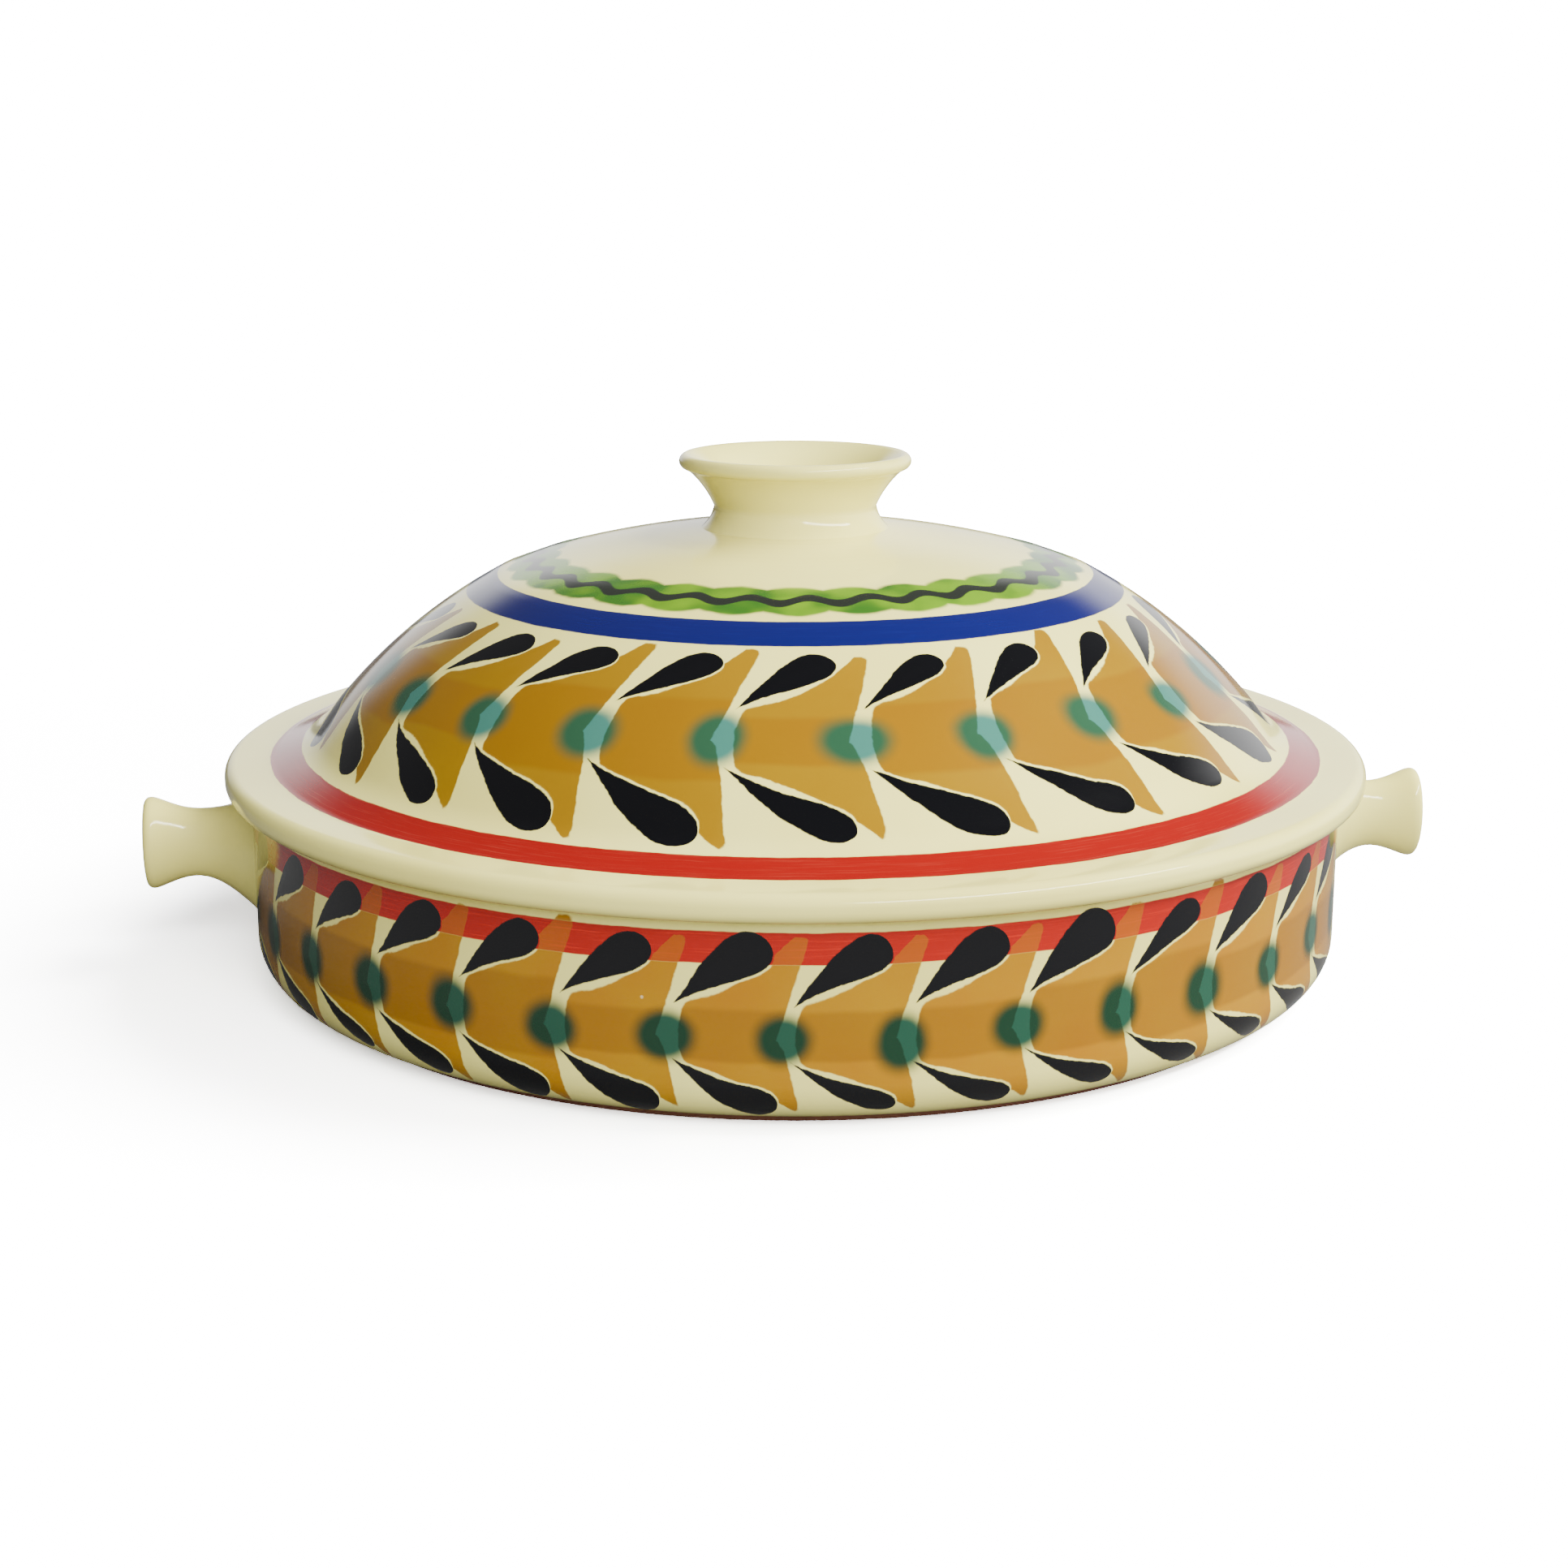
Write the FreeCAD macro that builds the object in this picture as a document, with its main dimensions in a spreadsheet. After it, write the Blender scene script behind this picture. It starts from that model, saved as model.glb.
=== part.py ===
"""Glazed earthenware tortilla warmer: a low round dish with two lug handles, and a domed lid with a hollow knob.

Millimetres, +Z up. The origin is on the table under the middle of the dish, and the handles lie along X.
Every round piece is turned about Z from a half section drawn in the XZ plane, as a potter's rib would cut it.
The dish carries a foot ring and two luted handles. The lid carries a seat ring, which drops inside the dish's
rim, and a thrown knob that stands on its crown.
"""

import FreeCAD, Part
import os
import Sketcher

PARTS = "parts"

# name, value in mm or degrees, what it is
SIZES = [
    ("dish_radius", 131.0, "outside of the dish's wall"),
    ("dish_height", 46.0, "table to the rim that the lid rests on"),
    ("dish_wall", 8.0, "thickness of the dish's wall"),
    ("dish_floor", 7.0, "thickness of the dish's floor"),
    ("heel_radius", 9.0, "round of the wall into the underside"),
    ("well_radius", 12.0, "round of the wall into the floor, inside"),
    ("rim_round", 2.4, "round on both edges of the rim"),
    ("foot_height", 2.0, "height of the unglazed foot ring"),
    ("foot_inset", 9.5, "dish's wall in to the foot ring"),
    ("foot_width", 9.0, "width of the foot ring"),
    ("foot_round", 0.8, "wiped lower edges of the foot ring"),
    ("handle_reach", 26.5, "wall to the handle's outer end"),
    ("handle_drop", 15.7, "dish's rim down to the handle's middle"),
    ("handle_root_drop", 2.6, "how much lower the root's middle lies"),
    ("handle_root_tall", 33.0, "height of the handle just inside the wall"),
    ("handle_root_wide", 29.0, "width of the handle just inside the wall"),
    ("handle_throat_tall", 24.0, "height of the handle just outside the wall"),
    ("handle_throat_wide", 19.0, "width of the handle just outside the wall"),
    ("handle_waist_tall", 16.6, "height of the handle at its waist"),
    ("handle_waist_wide", 11.0, "width of the handle at its waist"),
    ("handle_swell_tall", 18.6, "height of the handle between waist and end"),
    ("handle_swell_wide", 12.6, "width of the handle between waist and end"),
    ("handle_end_tall", 22.6, "height of the handle's flared end"),
    ("handle_end_wide", 16.0, "width of the handle's flared end"),
    ("handle_sink", 5.0, "how far the handle is drawn inside the wall before it is trimmed to it"),
    ("handle_round", 2.2, "round of the handle's end face"),
    ("lid_gap", 0.2, "the lid's underside above the rim that it rests on"),
    ("brim_overhang", 6.0, "how far the lid's brim stands out past the dish"),
    ("brim_edge", 6.4, "thickness of the brim at its edge"),
    ("brim_flat", 11.0, "width of the brim's flat top"),
    ("brim_round", 2.8, "round on the brim's edge"),
    ("dome_inset", 14.7, "dish's wall in to where the climbing brim meets the dome"),
    ("cove_radius", 12.0, "hollow round between brim and dome"),
    ("flank_radius", 130.0, "round of the dome's flank"),
    ("flank_inset", 119.5, "dish's wall in to the middle of the flank's round"),
    ("flank_centre_drop", 66.8, "middle of the flank's round, below the lid's underside"),
    ("shoulder_radius", 60.0, "round where the flank turns into the crown"),
    ("crown_radius", 240.0, "round of the dome's flat top"),
    ("crown_rise", 59.8, "lid's underside to the top of the crown's round"),
    ("lid_wall", 6.0, "thickness of the dome"),
    ("seat_clearance", 1.5, "gap between seat ring and dish"),
    ("seat_depth", 9.0, "how far the seat ring drops into the dish"),
    ("seat_width", 4.0, "thickness of the seat ring"),
    ("seat_round", 1.5, "round on the seat ring's lower edges"),
    ("knob_rise", 16.6, "top of the crown to the knob's rim"),
    ("knob_radius", 27.8, "outside of the knob's rim"),
    ("knob_bead", 3.6, "thickness of the knob's rim"),
    ("knob_neck_rise", 4.2, "top of the crown to the knob's neck"),
    ("knob_neck_radius", 19.5, "outside of the knob's neck"),
    ("knob_spread", 2.9, "how far the knob's foot stands out from its neck"),
    ("knob_wall", 4.2, "thickness of the knob's neck"),
    ("knob_cove", 9.0, "hollow round between the knob's foot and neck"),
    ("knob_flare", 24.0, "hollow round from the knob's neck to its rim"),
    ("knob_cup", 21.0, "round inside the knob's cup"),
]

# name, sum of sizes above, what it is
TIED = [
    ("foot_radius", "dish_radius - foot_inset", "outside of the foot ring"),
    ("handle_level", "dish_height - handle_drop", "height of the handle's middle"),
    ("brim_radius", "dish_radius + brim_overhang", "outside of the lid's brim"),
    ("brim_flat_radius", "brim_radius - brim_flat", "where the brim's flat top starts to climb"),
    ("dome_foot_radius", "dish_radius - dome_inset", "where the climbing brim meets the dome"),
    ("flank_centre_out", "dish_radius - flank_inset", "middle of the flank's round, out from the axis"),
    ("knob_foot_radius", "knob_neck_radius + knob_spread", "outside of the knob where it meets the crown"),
]


def write_sheet(doc):
    """The driving dimensions, one row each, with the name as the cell's alias, then the sizes tied to them."""
    sheet = doc.addObject("Spreadsheet::Sheet", "sizes")
    for row, (name, value, meaning) in enumerate(SIZES, start=1):
        sheet.set(f"A{row}", name)
        sheet.set(f"B{row}", str(value))
        sheet.set(f"C{row}", meaning)
        sheet.setAlias(f"B{row}", name)
    for row, (name, total, meaning) in enumerate(TIED, start=len(SIZES) + 2):
        sheet.set(f"A{row}", name)
        sheet.set(f"B{row}", f"={total}")
        sheet.set(f"C{row}", meaning)
        sheet.setAlias(f"B{row}", name)
    doc.recompute()
    return sheet


def cell(words):
    """The same words with each size's name pointed at its cell in the sheet."""
    names = {name for name, _, _ in SIZES + TIED}
    out, word = "", ""
    for letter in words + " ":
        if letter.isalnum() or letter == "_":
            word += letter
            continue
        out += f"sizes.{word}" if word in names else word
        out += letter
        word = ""
    return out.strip()


def plane(body, role):
    return next(p for p in body.Origin.OriginFeatures if p.Role == role)


def new_body(doc, label):
    body = doc.addObject("PartDesign::Body", label)
    body.Label = label
    return body


def new_sketch(body, name, role, offset=None):
    """A sketch on one of the body's own planes. offset is an expression for its distance from that plane."""
    sketch = body.newObject("Sketcher::SketchObject", name)
    sketch.AttachmentSupport = [(plane(body, role), "")]
    sketch.MapMode = "FlatFace"
    if offset:
        sketch.setExpression("AttachmentOffset.Base.z", cell(offset))
    return sketch


def hold(sketch, kind, *place, label, words):
    """A named constraint that follows an expression. The last of place is its starting value."""
    index = sketch.addConstraint(Sketcher.Constraint(kind, *place))
    sketch.renameConstraint(index, label)
    sketch.setExpression(f"Constraints.{label}", cell(words))


def pin(sketch, geometry, end, across, up, label):
    """Holds a point of the sketch at two expressions, measured from the origin."""
    now = sketch.getPoint(geometry, end)
    hold(sketch, "DistanceX", -1, 1, geometry, end, now.x, label=f"{label}_x", words=across)
    hold(sketch, "DistanceY", -1, 1, geometry, end, now.y, label=f"{label}_y", words=up)


def closed_outline(sketch, corners, near):
    """Straight sides through corners, each (across, up) as expressions. near gives their rough places."""
    count = len(corners)
    for i in range(count):
        a, b = near[i], near[(i + 1) % count]
        sketch.addGeometry(Part.LineSegment(FreeCAD.Vector(*a, 0), FreeCAD.Vector(*b, 0)))
    for i in range(count):
        sketch.addConstraint(Sketcher.Constraint("Coincident", i, 2, (i + 1) % count, 1))
    for i, (across, up) in enumerate(corners):
        pin(sketch, i, 1, across, up, f"corner{i}")


def turned(doc, body, sketch):
    """Turns the sketch a full turn about the body's Z axis."""
    feature = body.newObject("PartDesign::Revolution", body.Name + "_turned")
    feature.Profile = sketch
    feature.ReferenceAxis = (sketch, ["V_Axis"])
    feature.Angle = 360.0
    sketch.Visibility = False
    doc.recompute()
    return feature


def ring_edges(shape, radius, level):
    """Names of the circular edges of that radius at that height."""
    found = []
    for number, edge in enumerate(shape.Edges, start=1):
        box = edge.BoundBox
        flat = box.ZLength < 1e-4 and abs(box.ZMin - level) < 1e-3
        if flat and abs(box.XMax - radius) < 1e-3:
            found.append(f"Edge{number}")
    return found


def rounded(doc, body, base, edges, size):
    """Rounds the named edges of the last feature by a size of the sheet."""
    feature = body.newObject("PartDesign::Fillet", f"{body.Name}_{size}")
    feature.Base = (base, edges)
    feature.setExpression("Radius", cell(size))
    doc.recompute()
    return feature


def make_dish(doc, size):
    """The thrown dish: floor, upright wall, rounded heel and well, and a flat rim with soft edges."""
    body = new_body(doc, "dish")
    sketch = new_sketch(body, "dish_section", "XZ_Plane")
    r, h, wall = size("dish_radius"), size("dish_height"), size("dish_wall")
    foot, floor = size("foot_height"), size("dish_floor")
    closed_outline(
        sketch,
        [
            ("0 mm", "foot_height"),
            ("dish_radius", "foot_height"),
            ("dish_radius", "dish_height"),
            ("dish_radius - dish_wall", "dish_height"),
            ("dish_radius - dish_wall", "foot_height + dish_floor"),
            ("0 mm", "foot_height + dish_floor"),
        ],
        [(0, foot), (r, foot), (r, h), (r - wall, h), (r - wall, foot + floor), (0, foot + floor)],
    )
    last = turned(doc, body, sketch)
    rim = ring_edges(last.Shape, r, h) + ring_edges(last.Shape, r - wall, h)
    last = rounded(doc, body, last, rim, "rim_round")
    last = rounded(doc, body, last, ring_edges(last.Shape, r, foot), "heel_radius")
    rounded(doc, body, last, ring_edges(last.Shape, r - wall, foot + floor), "well_radius")
    return body


def make_foot_ring(doc, size):
    """The ring that the dish stands on, wiped clean of glaze before the firing."""
    body = new_body(doc, "foot_ring")
    sketch = new_sketch(body, "foot_section", "XZ_Plane")
    r, width, h = size("foot_radius"), size("foot_width"), size("foot_height")
    closed_outline(
        sketch,
        [
            ("foot_radius - foot_width", "0 mm"),
            ("foot_radius", "0 mm"),
            ("foot_radius", "foot_height"),
            ("foot_radius - foot_width", "foot_height"),
        ],
        [(r - width, 0), (r, 0), (r, h), (r - width, h)],
    )
    last = turned(doc, body, sketch)
    edges = ring_edges(last.Shape, r, 0) + ring_edges(last.Shape, r - width, 0)
    rounded(doc, body, last, edges, "foot_round")
    return body


def handle_station(body, size, name, at, level, less=0.0, place=""):
    """One cross-section of a handle: an ellipse, taller than wide, at a distance from the dish's axis.

    less is how many times the handle's end round it is smaller than the sizes called name.
    """
    wide, tall = f"handle_{name}_wide", f"handle_{name}_tall"
    sketch = new_sketch(body, f"handle_{place or name}", "YZ_Plane", offset=at)
    middle = FreeCAD.Vector(0, size("handle_level"), 0)
    shrink = less * size("handle_round")
    up = FreeCAD.Vector(0, (size(tall) - shrink) / 2, 0)
    aside = FreeCAD.Vector((size(wide) - shrink) / 2, 0, 0)
    sketch.addGeometry(Part.Ellipse(middle + up, middle + aside, middle))
    sketch.exposeInternalGeometry(0)
    major, minor = 1, 2
    sketch.addConstraint(Sketcher.Constraint("PointOnObject", 0, 3, -2))
    sketch.addConstraint(Sketcher.Constraint("Vertical", major))
    smaller = f" - handle_round * {less}"
    hold(sketch, "Distance", major, size(tall) - shrink, label="tall", words=tall + smaller)
    hold(sketch, "Distance", minor, size(wide) - shrink, label="wide", words=wide + smaller)
    hold(sketch, "DistanceY", -1, 1, 0, 3, middle.y, label="level", words=level)
    return sketch


def lofted(doc, body, name, sketches):
    feature = body.newObject("PartDesign::AdditiveLoft", name)
    feature.Profile = sketches[0]
    feature.Sections = sketches[1:]
    doc.recompute()
    return feature


def make_handle(doc, size):
    """A lug handle pulled to a waist and flared at its end, trimmed to the dish's wall."""
    body = new_body(doc, "handle_right")
    root = "handle_level - handle_root_drop"
    end = "dish_radius + handle_reach"
    stations = [
        ("root", "dish_radius - handle_sink", root),
        ("throat", "dish_radius + handle_reach * 0.13", root),
        ("waist", "dish_radius + handle_reach * 0.45", "handle_level"),
        ("swell", "dish_radius + handle_reach * 0.72", "handle_level"),
        ("end", f"{end} - handle_round", "handle_level"),
    ]
    pulled = [handle_station(body, size, *row) for row in stations]
    doc.recompute()
    lofted(doc, body, "handle_pulled", pulled)
    rim = [
        handle_station(body, size, "end", f"{end} - handle_round", "handle_level", 0.0, "rim_start"),
        handle_station(body, size, "end", f"{end} - handle_round * 0.293", "handle_level", 0.586, "rim_middle"),
        handle_station(body, size, "end", end, "handle_level", 2.0, "rim_face"),
    ]
    doc.recompute()
    lofted(doc, body, "handle_rim", rim)
    trim = new_sketch(body, "wall_circle", "XY_Plane")
    trim.addGeometry(Part.Circle(FreeCAD.Vector(0, 0, 0), FreeCAD.Vector(0, 0, 1), size("dish_radius")))
    trim.addConstraint(Sketcher.Constraint("Coincident", 0, 3, -1, 1))
    hold(trim, "Radius", 0, size("dish_radius"), label="wall", words="dish_radius")
    cut = body.newObject("PartDesign::Pocket", "handle_trimmed")
    cut.Profile = trim
    cut.Type = "Length"
    cut.Midplane = True
    cut.setExpression("Length", cell("dish_height * 4"))
    trim.Visibility = False
    doc.recompute()
    return body


def make_other_handle(doc, body):
    """The same handle on the far side of the dish."""
    other = doc.addObject("Part::Mirroring", "handle_left")
    other.Label = "handle_left"
    other.Source = body
    other.Normal = FreeCAD.Vector(1, 0, 0)
    doc.recompute()
    return other


def arc(centre, radius, start, end):
    """An arc about centre, counter-clockwise from start to end, each (across, up)."""
    full = Part.Circle(FreeCAD.Vector(*centre, 0), FreeCAD.Vector(0, 0, 1), radius)
    ends = [full.parameter(FreeCAD.Vector(*point, 0)) for point in (start, end)]
    return Part.ArcOfCircle(full, *ends)


def line(start, end):
    return Part.LineSegment(FreeCAD.Vector(*start, 0), FreeCAD.Vector(*end, 0))


def height_on(centre, radius, across):
    """Height of an arc's upper side at a distance from the axis."""
    return centre[1] + (radius**2 - (across - centre[0]) ** 2) ** 0.5


def crossing(low, low_radius, high, high_radius):
    """Outer point where two rounds cross, as (across, up)."""
    away = (low[0] - high[0], low[1] - high[1])
    gap = (away[0] ** 2 + away[1] ** 2) ** 0.5
    along = (high_radius**2 - low_radius**2 + gap**2) / (2 * gap)
    aside = (high_radius**2 - along**2) ** 0.5
    unit = (away[0] / gap, away[1] / gap)
    sides = [(unit[0] * along - turn * unit[1] * aside, unit[1] * along + turn * unit[0] * aside) for turn in (1, -1)]
    return max(((high[0] + x, high[1] + y) for x, y in sides), key=lambda point: point[0])


CROWN_TOP = "dish_height + lid_gap + crown_rise"


def make_lid(doc, size):
    """The thrown lid: flat brim, cove, the dome's flank and its flatter crown, with an even wall under them."""
    body = new_body(doc, "lid")
    sketch = new_sketch(body, "lid_section", "XZ_Plane")
    wall, rest = size("lid_wall"), size("dish_height") + size("lid_gap")
    flank_r, crown_r, top = size("flank_radius"), size("crown_radius"), rest + size("crown_rise")
    flank = (size("flank_centre_out"), rest - size("flank_centre_drop"))
    crown = (0.0, top - crown_r)
    turn = crossing(flank, flank_r, crown, crown_r)
    turn_in = crossing(flank, flank_r - wall, crown, crown_r - wall)
    foot = (size("dome_foot_radius"), height_on(flank, flank_r, size("dome_foot_radius")))
    brim, brim_top = size("brim_radius"), rest + size("brim_edge")
    flat = (size("brim_flat_radius"), brim_top)
    foot_in = (flank[0] + ((flank_r - wall) ** 2 - (rest - flank[1]) ** 2) ** 0.5, rest)
    for piece in (
        line((0.0, top - wall), (0.0, top)),
        arc(crown, crown_r, turn, (0.0, top)),
        arc(flank, flank_r, foot, turn),
        line(foot, flat),
        line(flat, (brim, brim_top)),
        line((brim, brim_top), (brim, rest)),
        line((brim, rest), foot_in),
        arc(flank, flank_r - wall, foot_in, turn_in),
        arc(crown, crown_r - wall, turn_in, (0.0, top - wall)),
    ):
        sketch.addGeometry(piece)
    axis, crown_out, flank_out, climb, flat_top, edge, seat, flank_in, crown_in = range(9)
    for fact in (
        ("Coincident", axis, 2, crown_out, 2),
        ("Coincident", crown_out, 1, flank_out, 2),
        ("Coincident", flank_out, 1, climb, 1),
        ("Coincident", climb, 2, flat_top, 1),
        ("Coincident", flat_top, 2, edge, 1),
        ("Coincident", edge, 2, seat, 1),
        ("Coincident", seat, 2, flank_in, 1),
        ("Coincident", flank_in, 2, crown_in, 1),
        ("Coincident", crown_in, 2, axis, 1),
        ("PointOnObject", axis, 1, -2),
        ("Coincident", flank_in, 3, flank_out, 3),
        ("Coincident", crown_in, 3, crown_out, 3),
        ("PointOnObject", crown_out, 3, -2),
        ("Horizontal", seat),
    ):
        sketch.addConstraint(Sketcher.Constraint(*fact))
    base = "dish_height + lid_gap"
    hold(sketch, "Radius", crown_out, crown_r, label="crown", words="crown_radius")
    hold(sketch, "Radius", flank_out, flank_r, label="flank", words="flank_radius")
    hold(sketch, "Radius", flank_in, flank_r - wall, label="flank_inside", words="flank_radius - lid_wall")
    hold(sketch, "Radius", crown_in, crown_r - wall, label="crown_inside", words="crown_radius - lid_wall")
    hold(sketch, "DistanceX", -1, 1, climb, 1, foot[0], label="dome_foot", words="dome_foot_radius")
    pin(sketch, axis, 2, "0 mm", CROWN_TOP, "apex")
    pin(sketch, flank_out, 3, "flank_centre_out", f"{base} - flank_centre_drop", "flank_centre")
    pin(sketch, flat_top, 1, "brim_flat_radius", f"{base} + brim_edge", "brim_flat")
    pin(sketch, edge, 1, "brim_radius", f"{base} + brim_edge", "brim_top")
    pin(sketch, edge, 2, "brim_radius", base, "brim_under")
    last = turned(doc, body, sketch)
    edges = ring_edges(last.Shape, brim, brim_top) + ring_edges(last.Shape, brim, rest)
    last = rounded(doc, body, last, edges, "brim_round")
    last = rounded(doc, body, last, ring_edges(last.Shape, *foot), "cove_radius")
    rounded(doc, body, last, ring_edges(last.Shape, *turn), "shoulder_radius")
    return body


def make_seat_ring(doc, size):
    """The ring under the lid that drops inside the dish's rim and keeps the lid from sliding off."""
    body = new_body(doc, "lid_seat_ring")
    sketch = new_sketch(body, "seat_section", "XZ_Plane")
    outer = size("dish_radius") - size("dish_wall") - size("seat_clearance")
    inner, high = outer - size("seat_width"), size("dish_height") + size("lid_gap")
    low = size("dish_height") - size("seat_depth")
    outside = "dish_radius - dish_wall - seat_clearance"
    closed_outline(
        sketch,
        [
            (f"{outside} - seat_width", "dish_height - seat_depth"),
            (outside, "dish_height - seat_depth"),
            (outside, "dish_height + lid_gap"),
            (f"{outside} - seat_width", "dish_height + lid_gap"),
        ],
        [(inner, low), (outer, low), (outer, high), (inner, high)],
    )
    last = turned(doc, body, sketch)
    edges = ring_edges(last.Shape, outer, low) + ring_edges(last.Shape, inner, low)
    rounded(doc, body, last, edges, "seat_round")
    return body


def bulge(start, end, radius, side):
    """An arc of that radius from start to end. side is +1 if its middle lies left of the way to end."""
    middle = ((start[0] + end[0]) / 2, (start[1] + end[1]) / 2)
    way = (end[0] - start[0], end[1] - start[1])
    chord = (way[0] ** 2 + way[1] ** 2) ** 0.5
    aside = side * (radius**2 - (chord / 2) ** 2) ** 0.5 / chord
    centre = (middle[0] - way[1] * aside, middle[1] + way[0] * aside)
    return arc(centre, radius, start, end) if side > 0 else arc(centre, radius, end, start)


def make_knob(doc, size):
    """The hollow knob: a necked ring with a beaded rim. Its foot follows the crown that it stands on."""
    body = new_body(doc, "lid_knob")
    sketch = new_sketch(body, "knob_section", "XZ_Plane")
    top = size("dish_height") + size("lid_gap") + size("crown_rise")
    crown_r, bead = size("crown_radius"), size("knob_bead")
    crown = (0.0, top - crown_r)
    bore = size("knob_neck_radius") - size("knob_wall")
    foot, neck = size("knob_foot_radius"), size("knob_neck_radius")
    lip, rim, neck_z = size("knob_radius") - bead / 2, top + size("knob_rise"), top + size("knob_neck_rise")
    foot_in, foot_out = (bore, height_on(crown, crown_r, bore)), (foot, height_on(crown, crown_r, foot))
    neck_out, neck_in, lip_low, lip_high = (neck, neck_z), (bore, neck_z), (lip, rim - bead), (lip, rim)
    for piece in (
        arc(crown, crown_r, foot_out, foot_in),
        bulge(foot_out, neck_out, size("knob_cove"), -1),
        bulge(neck_out, lip_low, size("knob_flare"), -1),
        arc((lip, rim - bead / 2), bead / 2, lip_low, lip_high),
        bulge(lip_high, neck_in, size("knob_cup"), 1),
        line(neck_in, foot_in),
    ):
        sketch.addGeometry(piece)
    seat, cove, flare, round_lip, cup, inside = range(6)
    for fact in (
        ("Coincident", seat, 1, cove, 2),
        ("Coincident", cove, 1, flare, 2),
        ("Coincident", flare, 1, round_lip, 1),
        ("Coincident", round_lip, 2, cup, 1),
        ("Coincident", cup, 2, inside, 1),
        ("Coincident", inside, 2, seat, 2),
        ("Vertical", inside),
    ):
        sketch.addConstraint(Sketcher.Constraint(*fact))
    pin(sketch, seat, 3, "0 mm", f"{CROWN_TOP} - crown_radius", "crown_centre")
    hold(sketch, "Radius", seat, crown_r, label="crown", words="crown_radius")
    hold(sketch, "Radius", cove, size("knob_cove"), label="cove", words="knob_cove")
    hold(sketch, "Radius", flare, size("knob_flare"), label="flare", words="knob_flare")
    hold(sketch, "Radius", cup, size("knob_cup"), label="cup", words="knob_cup")
    hold(sketch, "DistanceX", -1, 1, seat, 1, foot, label="foot", words="knob_foot_radius")
    pin(sketch, cove, 1, "knob_neck_radius", f"{CROWN_TOP} + knob_neck_rise", "neck")
    pin(sketch, cup, 2, "knob_neck_radius - knob_wall", f"{CROWN_TOP} + knob_neck_rise", "bore")
    rim_words = f"{CROWN_TOP} + knob_rise"
    pin(sketch, round_lip, 3, "knob_radius - knob_bead / 2", f"{rim_words} - knob_bead / 2", "lip")
    pin(sketch, round_lip, 1, "knob_radius - knob_bead / 2", f"{rim_words} - knob_bead", "lip_low")
    hold(sketch, "DistanceX", -1, 1, round_lip, 2, lip, label="lip_high", words="knob_radius - knob_bead / 2")
    turned(doc, body, sketch)
    return body


def check(doc, pieces):
    """Stops if any object failed, or a piece isn't one or more good solids."""
    failed = [o.Name for o in doc.Objects if "Invalid" in o.State or "Error" in o.State]
    if failed:
        raise RuntimeError(f"failed objects: {failed}")
    for piece in pieces:
        shape = piece.Shape
        if shape.isNull() or not shape.isValid() or not shape.Solids:
            raise RuntimeError(f"{piece.Label} is not a good solid")


def main():
    doc = FreeCAD.newDocument("tortilla_warmer")
    sheet = write_sheet(doc)

    def size(name):
        return float(sheet.get(name))

    handle = make_handle(doc, size)
    pieces = [
        make_dish(doc, size),
        make_foot_ring(doc, size),
        handle,
        make_other_handle(doc, handle),
        make_lid(doc, size),
        make_seat_ring(doc, size),
        make_knob(doc, size),
    ]
    doc.recompute()
    check(doc, pieces)
    os.makedirs(PARTS, exist_ok=True)
    for piece in pieces:
        shape = piece.Shape
        box = shape.BoundBox
        print(f"{piece.Label}: {shape.Volume / 1000:.1f} cm3, z {box.ZMin:.2f} to {box.ZMax:.2f}, x to {box.XMax:.2f}")
        shape.exportStep(os.path.join(PARTS, piece.Label + ".step"))


main()
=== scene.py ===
"""Hand-painted earthenware tortilla warmer.

A low dish with two lug handles stands on a bare clay foot ring. Its domed lid lifts straight off, and has a
seat ring underneath and a hollow knob on top. Every round piece is turned on the upright axis from a half
profile. The painting is worked out on the surface: bands round the axis, and a garland that repeats round it.
"""

import math

import bpy
from bpy.props import FloatProperty, FloatVectorProperty, IntProperty, PointerProperty
from mathutils import Matrix, Vector


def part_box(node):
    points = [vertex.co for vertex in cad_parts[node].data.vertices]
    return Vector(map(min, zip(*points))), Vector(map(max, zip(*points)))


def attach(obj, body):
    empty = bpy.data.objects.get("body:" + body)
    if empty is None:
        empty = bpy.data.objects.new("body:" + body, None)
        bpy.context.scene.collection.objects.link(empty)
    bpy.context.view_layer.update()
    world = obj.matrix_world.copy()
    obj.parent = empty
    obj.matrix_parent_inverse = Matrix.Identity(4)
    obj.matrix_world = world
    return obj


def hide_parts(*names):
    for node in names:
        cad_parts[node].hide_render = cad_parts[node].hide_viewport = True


bl_info = {
    "name": "Tortilla Warmer",
    "version": (1, 0, 0),
    "blender": (4, 5, 0),
    "location": "3D View > Sidebar > Warmer",
    "description": "Builds a painted earthenware tortilla warmer around its measured frame",
    "category": "Add Mesh",
}

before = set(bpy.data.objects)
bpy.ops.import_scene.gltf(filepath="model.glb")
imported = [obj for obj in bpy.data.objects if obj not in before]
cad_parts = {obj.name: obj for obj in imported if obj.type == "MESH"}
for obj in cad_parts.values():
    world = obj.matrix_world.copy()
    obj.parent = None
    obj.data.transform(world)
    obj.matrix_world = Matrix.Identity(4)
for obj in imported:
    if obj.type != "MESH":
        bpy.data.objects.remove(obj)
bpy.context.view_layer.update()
MM = 0.001

DISH_LOW, DISH_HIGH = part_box("dish")
FOOT_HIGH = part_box("foot_ring")[1]
LID_LOW, LID_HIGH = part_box("lid")
SEAT_LOW, SEAT_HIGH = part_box("lid_seat_ring")
KNOB_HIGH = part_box("lid_knob")[1]
HANDLE_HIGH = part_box("handle_right")[1]


def length(name, description, default):
    """A size in metres."""
    return FloatProperty(
        name=name, description=description, default=default, min=0.0, subtype="DISTANCE", unit="LENGTH"
    )


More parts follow.
